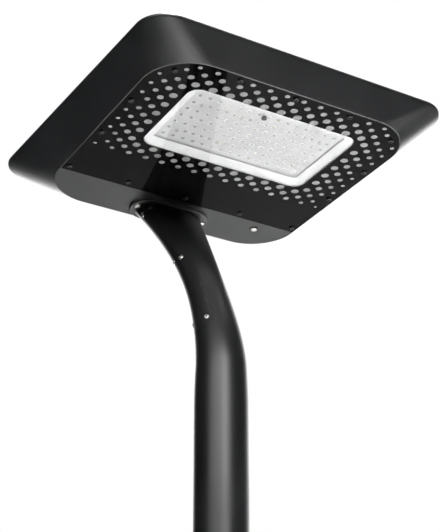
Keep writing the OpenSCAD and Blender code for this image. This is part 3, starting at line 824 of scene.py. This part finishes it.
# %% Foot gasket
GASKET_SWELL = 1.2
swell = [(FOOT_HIGH, 0.6), (FOOT_HIGH + 0.1, 1.0), (-0.5, 1.2), (-0.1, 1.0), (0, 0.6)]
foot_seal = skin("foot_seal", [at_height(stadium(-GASKET_SWELL * i), z) for z, i in swell])
cut(foot_seal, round_hole("wire_way", 0, FOOT_Y, 22, -2, 1))
present(foot_seal, "gasket", "foot_gasket")

# %% [markdown]
# ### The cover itself
#
# The cover is the neck's own skin, cut out with the prism and hollowed to its
# thickness. Because both pieces come from the same sections, the cover lies flush.

# %% Neck cover
SCREW_SINK = 1.6
COVER_SITES = [
    (COVER_TOP + 6, -COVER_HALF - 0.3), (COVER_TOP + 17, 1.0),
    (134, -COVER_HALF + 8), (134, COVER_HALF - 8),
    (COVER_BOTTOM - 20, -COVER_HALF), (COVER_BOTTOM - 20, COVER_HALF),
]


def on_cover(depth, offset):
    """Where a cover screw's head seats, as a matrix whose z axis points inwards."""
    a = neck_half_x(depth)
    b = neck_half_y(depth)
    widen = (neck_half_x(depth - 1) - neck_half_x(depth + 1)) / 2
    x = -a * math.sqrt(1 - (offset / b) ** 2)
    rise = -offset * neck_lean(depth) / b**2 - x * x * widen / a**3
    normal = Vector((x / a**2, offset / b**2, rise)).normalized()
    at = Vector((x, neck_y(depth) + offset, -depth)) - normal * SCREW_SINK
    turn = (-normal).to_track_quat("Z", "Y").to_matrix().to_4x4()
    return Matrix.Translation((at.x * MM, at.y * MM, HEAD_Z + at.z * MM)) @ turn


def placed(piece, matrix):
    piece.data.transform(matrix)
    return piece


cover = neck_skin("neck_cover_shell", 0.0, 330)
combine(cover, cover_prism("trim", 0.0), "INTERSECT")
cut(cover, neck_skin("hollow", COVER_T, 331), *foot_pockets())
for site in COVER_SITES:
    sink = turned("sink", [(5.3, -6), (5.3, 0)], 0)
    hole = turned("hole", [(2.65, -1), (2.65, 8)], 0)
    cut(cover, placed(sink, on_cover(*site)), placed(hole, on_cover(*site)))
soften(cover, 0.5, 50, 3)
present(cover, "pole_paint", "neck_cover")

# %% [markdown]
# ## Screws
#
# All the screws that show are button heads with a hexagon socket. One function turns
# the head from a profile with a round crown and cuts the socket with a six-sided
# tool. The same screw is then set at each of its places.

# %% Screws
def crown(width, height, steps=8):
    """The profile of a button head, from its crown down to its seat at z = 0."""
    flat = 0.3 * width
    rise = [k / steps for k in range(steps + 1)]
    curve = []
    for t in rise:
        turn = t * math.pi / 2
        radius = mix(flat, width / 2, math.sin(turn))
        curve.append((radius, -height + 0.85 * height * (1 - math.cos(turn))))
    return curve + [(width / 2, 0)]


def button_screw(name, width, height, socket, shank, length):
    profile = crown(width, height) + [(shank / 2, 0.0), (shank / 2, length)]
    screw = turned(name, profile, 0, 40)
    tool = turned("socket", [(socket / 2, -height - 1), (socket / 2, -0.35 * height)], 0, 6)
    cut(screw, tool)
    return soften(screw, 0.12, 40, 2)


def screw_set(name, places, slot, node, *size):
    screws = [placed(button_screw(name + "_one", *size), place) for place in places]
    return present(gather(name, screws), slot, node)


def upright(x, y, z):
    return Matrix.Translation((x * MM, y * MM, HEAD_Z + z * MM))


screw_set("cover_screws", [on_cover(*site) for site in COVER_SITES],
          "stainless", "neck_cover_screws", 9, 2.6, 3.8, 4, 6)
screw_set("bolts_of_foot", [upright(x, y, FOOT_LOW + 1) for x, y in FOOT_BOLTS],
          "stainless", "foot_bolts", 10, 3.6, 5, 4.8, 20)

# %% [markdown]
# ## Head housing
#
# The housing is a cast tray. Its underside is a rounded rectangle, its rim is a larger
# and slightly tapered one, and the wall between them leans out at about 45 degrees.
# Two outlines with the same number of points, blended by height, give that wall
# without any modelling by hand. The three edges that run all round it are eased by
# adding rings near them, which keeps the long faces clean.

# %% Head outlines
RIM_FRONT = -248
RIM_REAR = 248
RIM = [(-247, RIM_FRONT), (247, RIM_FRONT), (265, RIM_REAR), (-265, RIM_REAR)]
RIM_R = [46] * 4
BASE_W = 420
BASE_FRONT = -221
BASE_REAR = 206
BASE = [
    (-BASE_W / 2, BASE_FRONT), (BASE_W / 2, BASE_FRONT),
    (BASE_W / 2, BASE_REAR), (-BASE_W / 2, BASE_REAR),
]
BASE_R = [75] * 4
HEAD_H = 42.4
LIP_Z = 38.4
WALL = 3
FLOOR_T = 8
EDGE = 1.6
LOW_EDGE = 0.35


def wall_ring(z, inset=0.0):
    t = min(1, z / LIP_Z)
    low = outline(BASE, BASE_R, inset)
    high = outline(RIM, RIM_R, inset)
    return at_height([mix(a, b, t) for a, b in zip(low, high)], z)


def eased_profile():
    """Height and inset of each ring, from the underside up to the top."""
    fifths = [k / 4 for k in range(5)]
    rings = [(LOW_EDGE * t * t, LOW_EDGE * (1 - t) ** 2) for t in fifths]
    rings += [(LIP_Z + EDGE * (2 * t - 1), EDGE * min(t, 1 - t) ** 2) for t in fifths]
    rings += [(HEAD_H - EDGE * (1 - t) ** 2, EDGE * t * t) for t in fifths]
    return rings


print("rings round the head:", len(eased_profile()))

# %% [markdown]
# The inside is cut out as in the casting: a cavity that follows the wall, a recess on
# top for the solar module, and below a pocket for the panel with a ledge round it.

# %% Head housing
PANEL_REAR = 127
PANEL_EDGE = 1.4
PANEL_GAP = 0.4
PANEL_T = 4
LEDGE_Z = 5
PANEL_LEDGE = 22
MODULE_SEAT = 37
MODULE_IN = 4
MODULE_LEDGE = 12
PANEL = [
    (-BASE_W / 2, BASE_FRONT), (BASE_W / 2, BASE_FRONT),
    (BASE_W / 2, PANEL_REAR + PANEL_EDGE), (-BASE_W / 2, PANEL_REAR + PANEL_EDGE),
]
PANEL_R = [75, 75, PANEL_EDGE + 1.2, PANEL_EDGE + 1.2]
VENT_AT = (148, 148)
WIRE_WAY_D = 22


def housing_tools():
    yield slab("recess", outline(RIM, RIM_R, MODULE_IN), MODULE_SEAT, HEAD_H + 2)
    yield slab("opening", outline(RIM, RIM_R, MODULE_IN + MODULE_LEDGE), 32, MODULE_SEAT + 1)
    yield skin("cavity", [wall_ring(FLOOR_T, WALL), wall_ring(MODULE_SEAT - 4, WALL)])
    yield slab("pocket", outline(PANEL, PANEL_R, PANEL_EDGE), -1, LEDGE_Z)
    yield slab("below", outline(PANEL, [75, 75, 30, 30], PANEL_LEDGE), 0, FLOOR_T + 1)
    yield round_hole("wire_way", 0, FOOT_Y, WIRE_WAY_D, -1, FLOOR_T + 1)
    yield round_hole("vent_hole", *VENT_AT, 7, -1, FLOOR_T + 1)


housing = skin("head_shell", [wall_ring(z, inset) for z, inset in eased_profile()])
cut(housing, *housing_tools())
soften(housing, 0.2, 60, 2)
present(housing, "dark_paint", "head_housing")

# %% [markdown]
# ## Vent plug
#
# A sealed head breathes through a small plug beside the neck, so that it draws no
# water when it cools. It is a black moulded ring with a bright slotted cap.

# %% Vent plug
RING_PROFILE = [
    (3.2, -1.2), (3.2, 0), (7.4, 0), (7.4, -0.8),
    (7.1, -1.3), (6.5, -1.6), (5.9, -1.6), (5.7, -1.2),
]
vent_ring = turned("vent_ring", RING_PROFILE, HEAD_Z, 48, True)
placed(vent_ring, Matrix.Translation((VENT_AT[0] * MM, VENT_AT[1] * MM, 0)))
present(vent_ring, "black_plastic", "vent_plug", finish=FINISHES["black_screw"])

vent_cap = turned("vent_cap", [(1.5, -3.1), (4.0, -2.9), (5.0, -2.4), (5.4, -1.7), (5.4, -1.0)])
for k in range(3):
    slot_tool = slab("slot", outline(rectangle(10, 1.0), [0.45] * 4, 0, 4), -4, -2.1)
    placed(slot_tool, Matrix.Rotation(math.radians(60 * k), 4, "Z"))
    cut(vent_cap, slot_tool)
placed(vent_cap, Matrix.Translation((VENT_AT[0] * MM, VENT_AT[1] * MM, 0)))
soften(vent_cap, 0.1, 40, 2)
present(vent_cap, "stainless")

# %% [markdown]
# ## Panel
#
# The panel lies flush in its pocket with a thin gap all round, which shows as a fine
# line. Fourteen blackened screws hold it, and the window's opening is cut through it.

# %% Panel
WINDOW_W = 279
WINDOW_L = 166
WINDOW_Y = -82.2
WINDOW = rectangle(WINDOW_W, WINDOW_L, 0, WINDOW_Y)
WINDOW_R = [20] * 4
WINDOW_FLANGE = 5
PANE_FRONT_T = 2.2
REAR_SCREW_Y = PANEL_REAR - 13
PANEL_SITES = [(100 * k, REAR_SCREW_Y) for k in range(-2, 3)]
PANEL_SITES += [(90.7 * k, BASE_FRONT + 11) for k in (-1, 0, 1)]
PANEL_SITES += [(side * 180.1, -187) for side in (-1, 1)]
PANEL_SITES += [(side * 199, y) for side in (-1, 1) for y in (-92.5, 3)]


def window(inset):
    return outline(WINDOW, WINDOW_R, inset)


def eased_slab(name, shape, low, high, edge):
    """A slab whose lower edge is eased; shape gives its outline for an inset."""
    rings = [
        at_height(shape(edge * (1 - t) ** 2), low + edge * t * t) for t in (0, 0.3, 0.6, 1)
    ]
    return skin(name, rings + [at_height(shape(0.0), high)])


def panel_shape(inset):
    return outline(PANEL, PANEL_R, PANEL_EDGE + PANEL_GAP + inset)


panel = eased_slab("gloss_panel", panel_shape, 0, PANEL_T, 0.5)
cut(panel, slab("window_hole", window(0.0), -1, PANEL_T + 1))
cut(panel, slab("flange_seat", window(-WINDOW_FLANGE - 0.3), PANE_FRONT_T, PANEL_T + 1))
cut(panel, *[round_hole("hole", x, y, 5.5, -1, PANEL_T + 1, sides=24) for x, y in PANEL_SITES])
present(panel, "gloss_black", "light_panel")
screw_set("panel_screws", [upright(x, y, 0) for x, y in PANEL_SITES],
          "black_screw", "light_panel_screws", 9, 2.6, 4.2, 4, 11)

# %% [markdown]
# ### Printed dots
#
# Round the window runs a pattern of light dots that shrink as they get further from
# it, a common way to fade a print out. It is a rule and not a picture: the dots stand
# on a staggered grid, and each diameter follows from the distance to the window. Dots
# that would touch the window, a screw or the panel's edge are left out. Each dot is a
# disc a few hundredths of a millimetre thick, as a thick ink would be.

# %% Dots
DOT_GRID_X = 27.8
DOT_GRID_Y = 25.66
DOT_FIRST_X = -152.9
DOT_FIRST_Y = -183.2
DOT_D = 13.4
DOT_FADE = 0.125
DOT_LEAST = 5
INK_T = 0.05


def gap_to_window(x, y):
    """Distance from the window's rounded edge, negative inside."""
    r = WINDOW_R[0]
    dx = abs(x) - WINDOW_W / 2 + r
    dy = abs(y - WINDOW_Y) - WINDOW_L / 2 + r
    return math.hypot(max(dx, 0), max(dy, 0)) + min(max(dx, dy), 0) - r


def gap_to_edge(x, y):
    """Distance inside the panel's edge."""
    r = 75 - PANEL_EDGE - PANEL_GAP
    sides = BASE_W / 2 - PANEL_EDGE - PANEL_GAP - abs(x)
    front = y - BASE_FRONT - PANEL_EDGE - PANEL_GAP
    if sides < r and front < r:
        return r - math.hypot(r - sides, r - front)
    return min(sides, front)


def dot_sites():
    for row in range(-3, 18):
        for column in range(-3, 26):
            if (row - column) % 2 == 0:
                x = DOT_FIRST_X + DOT_GRID_X * column / 2
                y = DOT_FIRST_Y + DOT_GRID_Y * row / 2
                gap = gap_to_window(x, y)
                width = max(DOT_LEAST, DOT_D - DOT_FADE * gap)
                clear = min(math.hypot(x - sx, y - sy) for sx, sy in PANEL_SITES)
                if gap > 5 and gap_to_edge(x, y) > width / 2 + 1 and clear > 9:
                    yield x, y, width


dots = gather("printed_dots", [
    round_hole("dot", x, y, width, -INK_T, 0.01, sides=32) for x, y, width in dot_sites()
])
present(dots, "white_plastic", finish=PRINT_GREY)

# %% [markdown]
# ## Window, frame and lenses
#
# The pane fills the opening and lies flush with the panel. Behind it a white frame
# slopes in to the lens plate, and that slope is the brightest thing on the lamp.

# %% Pane and frame
FRAME_OUT = 9
FRAME_SLOPE = 15
BEVEL_Z = PANEL_T + 5.5
PLATE_Z = PANEL_T + 5.8
PLATE_T = 2
BOARD_Z = PLATE_Z + PLATE_T + 0.7


def pane_shape(inset):
    return window(0.3 + inset)


pane = eased_slab("clear_window", pane_shape, 0, PANE_FRONT_T + 0.4, 0.4)
add(pane, slab("pane_flange", window(-WINDOW_FLANGE), PANE_FRONT_T + 0.4, PANEL_T))
present(pane, "clear_pane", "window_pane")

frame_profile = [
    (-FRAME_OUT, PANEL_T), (1.2, PANEL_T), (1.5, PANEL_T + 0.1),
    (FRAME_SLOPE - 0.4, BEVEL_Z - 0.15), (FRAME_SLOPE, BEVEL_Z), (FRAME_SLOPE, PLATE_Z),
    (FRAME_SLOPE - 7.5, PLATE_Z), (FRAME_SLOPE - 7.5, BOARD_Z), (-FRAME_OUT, BOARD_Z),
]
white_frame = skin("white_frame", [at_height(window(i), z) for i, z in frame_profile],
                   ring_of_rings=True)
present(white_frame, "white_plastic", "light_frame")

# %% [markdown]
# ### Lens plate
#
# Seven rows of low domes are moulded into one clear plate. Four screws hold it in the
# second row and in the sixth, and the domes there stand a little closer. A dome is a
# cap of a sphere, so its radius follows from its width and height.

# %% Lens plate
LENS_COLUMNS = 15
LENS_D = 12
LENS_H = 2.6
LENS_PITCH_X = (WINDOW_W - 2 * 26.1) / (LENS_COLUMNS - 1)
LENS_PITCH_Y = (WINDOW_L - 2 * 27.5) / 6
CLOSE_PITCH = (WINDOW_W - 2 * 26.1) / 17
SCREW_ROW = 2
SENSOR_D = 8.4
SENSOR_AT = (-LENS_PITCH_X / 2, WINDOW_Y - 3 * LENS_PITCH_Y)
LENS_SCREWS = [
    (k * 5 * CLOSE_PITCH, WINDOW_Y + side * SCREW_ROW * LENS_PITCH_Y)
    for k in (-1.5, -0.5, 0.5, 1.5) for side in (-1, 1)
]


def lens_sites():
    for row in range(-3, 4):
        close = abs(row) == SCREW_ROW
        count = 18 if close else LENS_COLUMNS
        pitch = CLOSE_PITCH if close else LENS_PITCH_X
        for i in range(count):
            k = i - (count - 1) / 2
            if not (close and abs(k) in (2.5, 7.5)):
                yield k * pitch, WINDOW_Y + row * LENS_PITCH_Y


def lens_dome():
    radius = ((LENS_D / 2) ** 2 + LENS_H**2) / (2 * LENS_H)
    bow = math.asin(LENS_D / 2 / radius)
    profile = [
        (radius * math.sin(bow * k / 8), radius - LENS_H - radius * math.cos(bow * k / 8))
        for k in (0.5, 1, 2, 3, 4, 5, 6, 7, 8)
    ]
    return turned("dome", profile + [(LENS_D / 2, 0.4)], HEAD_Z + PLATE_Z * MM, 32)


master = lens_dome()
domes = []
for x, y in lens_sites():
    dome = master.copy()
    dome.data = master.data.copy()
    domes.append(placed(dome, Matrix.Translation((x * MM, y * MM, 0))))
bpy.data.objects.remove(master)
lens_plate = slab("lens_sheet", window(FRAME_SLOPE - 7.2), PLATE_Z, PLATE_Z + PLATE_T)
add(lens_plate, gather("domes", domes))
sensor_seat = round_hole("sensor_seat", *SENSOR_AT, SENSOR_D + 0.3, PLATE_Z - 5, PLATE_Z)
cut(lens_plate, sensor_seat)
for x, y in LENS_SCREWS:
    cut(lens_plate, round_hole("hole", x, y, 3.3, PLATE_Z - 5, PLATE_Z + 5, sides=24))
present(lens_plate, "lens_clear", "lens_plate")
print("lenses:", len(list(lens_sites())))

# %% [markdown]
# ### Board of light sources
#
# Behind the lens plate lies a white board with one small light source under each
# lens. Unlit, such a source is a pale grey-yellow square. Seen through its lens it is
# the faint grey mark that each lens shows.

# %% Light board
CHIP = 3.2
CHIP_T = 0.6
BOARD_T = 1.6
BOARD_IN = 2


def phosphor():
    finish = Finish("phosphor", (0.42, 0.41, 0.36), 0.5)
    finish.tint(finish.noise(2), (0.36, 0.35, 0.29), (0.46, 0.45, 0.40))
    finish.bump(finish.noise(0.4), 0.01)
    return finish.material


chips = gather("light_chips", [
    slab("chip", rectangle(CHIP, CHIP, x, y), BOARD_Z - CHIP_T, BOARD_Z)
    for x, y in lens_sites()
])
present(chips, "white_board", finish=phosphor())
light_board = slab("light_board", window(BOARD_IN - FRAME_OUT), BOARD_Z, BOARD_Z + BOARD_T)
for x, y in LENS_SCREWS:
    cut(light_board, round_hole("hole", x, y, 3.3, BOARD_Z - 1, BOARD_Z + 3, sides=24))
present(light_board, "white_board", "led_board")

# %% [markdown]
# ## Solar module
#
# The top is a solar module let into the rim: a sheet of glass over dark cells. The
# cells are cut in strips, three columns of ten, joined by thin flat ribbons.
#
# Light that passes through glass twice is slow to render clean, so the glass casts no
# shadow on the cells. The gloss of glass, cells and back sheet is set low and the cells
# are written very dark, because strong lamps hang right above them.

# %% Solar module
CELL_W = 156
CELL_L = 39
CELL_GAP_X = 3
CELL_GAP_Y = 2
CELL_ROWS = 10
CELLS_Z = 38.8
MODULE_TOP = 42
MODULE_GAP = 0.3
RIBBONS = (-52, 0, 52)


def module_shape(inset):
    return outline(RIM, RIM_R, MODULE_IN + MODULE_GAP + inset)


def cell_finish():
    finish = Finish("solar_cell", (0.0012, 0.0017, 0.0045), 0.35, Specular_IOR_Level=0.0)
    finish.tint(finish.noise(70, detail=2), (0.0010, 0.0013, 0.0034), (0.0015, 0.0023, 0.0058))
    finish.roughen(finish.noise(20), 0.3, 0.4)
    finish.bump(finish.noise(1.5, stretch=(40, 1, 1)), 0.01)
    return finish.material


back_sheet = slab("module_back", module_shape(0.0), 38, CELLS_Z - 0.3)
BACK_SHEET = dull("back_sheet", (0.0015, 0.0015, 0.0018), 0.6, 1.0, 0.01, 0.0)
present(back_sheet, "solar_glass", finish=BACK_SHEET)
cells = []
ribbons = []
for column in (-1, 0, 1):
    x = column * (CELL_W + CELL_GAP_X)
    for row in range(CELL_ROWS):
        y = (row - (CELL_ROWS - 1) / 2) * (CELL_L + CELL_GAP_Y)
        shape = outline(rectangle(CELL_W, CELL_L, x, y), [1.5] * 4, 0, 4)
        cells.append(slab("cell", shape, CELLS_Z - 0.3, CELLS_Z - 0.1))
    length = CELL_ROWS * (CELL_L + CELL_GAP_Y) - CELL_GAP_Y
    for offset in RIBBONS:
        line = rectangle(1.2, length, x + offset, 0)
        ribbons.append(slab("ribbon", line, CELLS_Z - 0.1, CELLS_Z - 0.05))
present(gather("solar_cells", cells), "solar_glass", finish=cell_finish())
present(gather("cell_ribbons", ribbons), "stainless")


def module_glass():
    top = 0.8
    rings = [at_height(module_shape(0.0), CELLS_Z)]
    for t in (0, 0.3, 0.6, 1):
        rings.append(at_height(module_shape(top * t * t), MODULE_TOP - top * (1 - t) ** 2))
    return skin("module_glass", rings)


GLASS = clear_plastic("module_glass", 0.06, 1.3, 2.0, 0.003, 0.12)
glass = present(module_glass(), "solar_glass", "solar_module", finish=GLASS)
glass.visible_shadow = False

# %% [markdown]
# ## Base
#
# The base isn't seen from where the camera stands, so it is finished plainly: a square
# flange with four holes, a collar that holds the pole and three holes for grub screws in it.

# %% Base flange
FLANGE_W = 216
FLANGE_T = 16
FLANGE_R = 22
COLLAR_R = 45.25
COLLAR_H = 70
BORE_R = 38.25
ANCHOR = 143.7 / 2


def flange_shape(inset):
    return outline(rectangle(FLANGE_W, FLANGE_W), [FLANGE_R] * 4, inset)


def flange_plate():
    edge = 2.0
    rings = [at_height(flange_shape(0.4), 0), at_height(flange_shape(0.0), 0.4)]
    for t in (0, 0.25, 0.5, 0.75, 1):
        rings.append(at_height(flange_shape(edge * t * t), FLANGE_T - edge * (1 - t) ** 2))
    return skin("flange", rings, 0)


collar_foot = [
    (COLLAR_R + 9 * (1 - math.sin(t)), FLANGE_T + 22 * (1 - math.cos(t)))
    for t in [math.pi / 2 * k / 12 for k in range(13)]
]
collar = turned("collar", [(COLLAR_R + 9, FLANGE_T - 4)] + collar_foot + [
    (COLLAR_R, COLLAR_H - 1.5), (COLLAR_R - 0.4, COLLAR_H - 0.4), (COLLAR_R - 1.5, COLLAR_H),
], 0, 96)
base = add(flange_plate(), collar)
cut(base, turned("bore", [(BORE_R, POLE_SEAT), (BORE_R, COLLAR_H + 2)], 0, 96))
cut(base, turned("way_in", [(30.9, -2), (30.9, POLE_SEAT + 2)], 0, 96))
for x in (-ANCHOR, ANCHOR):
    for y in (-ANCHOR, ANCHOR):
        cut(base, round_hole("anchor", x, y, 18, -2, FLANGE_T + 2, 0))
        sink = turned("sink", [(9, FLANGE_T - 1), (11, FLANGE_T + 1)], 0)
        cut(base, placed(sink, Matrix.Translation((x * MM, y * MM, 0))))
for angle in (90, 210, 330):
    grub_hole = turned("grub_hole", [(3.36, 37), (3.36, 47)], 0, 32)
    placed(grub_hole, Matrix.Rotation(math.radians(90), 4, "Y"))
    placed(grub_hole, Matrix.Translation((0, 0, 54 * MM)))
    cut(base, placed(grub_hole, Matrix.Rotation(math.radians(angle), 4, "Z")))
base.name = "flange_and_collar"
soften(base, 0.4, 50, 2)
present(base, "dark_paint", "base_flange")
